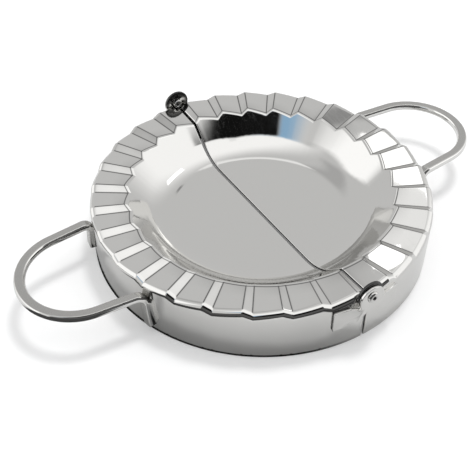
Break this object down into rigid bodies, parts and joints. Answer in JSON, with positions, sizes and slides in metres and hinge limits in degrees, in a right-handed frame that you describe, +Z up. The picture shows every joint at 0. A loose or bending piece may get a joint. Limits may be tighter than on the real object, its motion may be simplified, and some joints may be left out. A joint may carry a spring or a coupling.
{
  "type": "empanada press",
  "caption": "Hinged stainless dough press lying open: round half dishes with saw-tooth crimping rims and cutter walls, riveted hinge lugs and bent flat-bar handles.",
  "frame": {"origin": "middle of the ring that the two cutter walls make, on the surface they stand on", "axes": "+X from the left handle to the right one, +Y along the hinge towards the far rivet, +Z up out of the dishes"},
  "size_m": [0.1892, 0.1306, 0.0259],
  "materials": {
    "polished_sheet": "mirror-polished stainless sheet",
    "brushed_bar": "satin stainless flat bar",
    "rivet_steel": "bright drawn rivet steel"
  },
  "bodies": {
    "left_half": {"left_shell": "polished_sheet", "left_handle": "brushed_bar", "left_outer_lug": "polished_sheet", "left_inner_lug": "polished_sheet", "near_rivet": "rivet_steel"},
    "right_half": {"right_shell": "polished_sheet", "right_handle": "brushed_bar", "right_outer_lug": "polished_sheet", "right_inner_lug": "polished_sheet", "far_rivet": "rivet_steel"}
  },
  "joints": [
    {"name": "fold", "type": "hinge", "parent": "left_half", "child": "right_half", "pos_m": [0, 0, 0.02089], "axis": [0, -1, 0], "range_deg": [0, 180]}
  ]
}
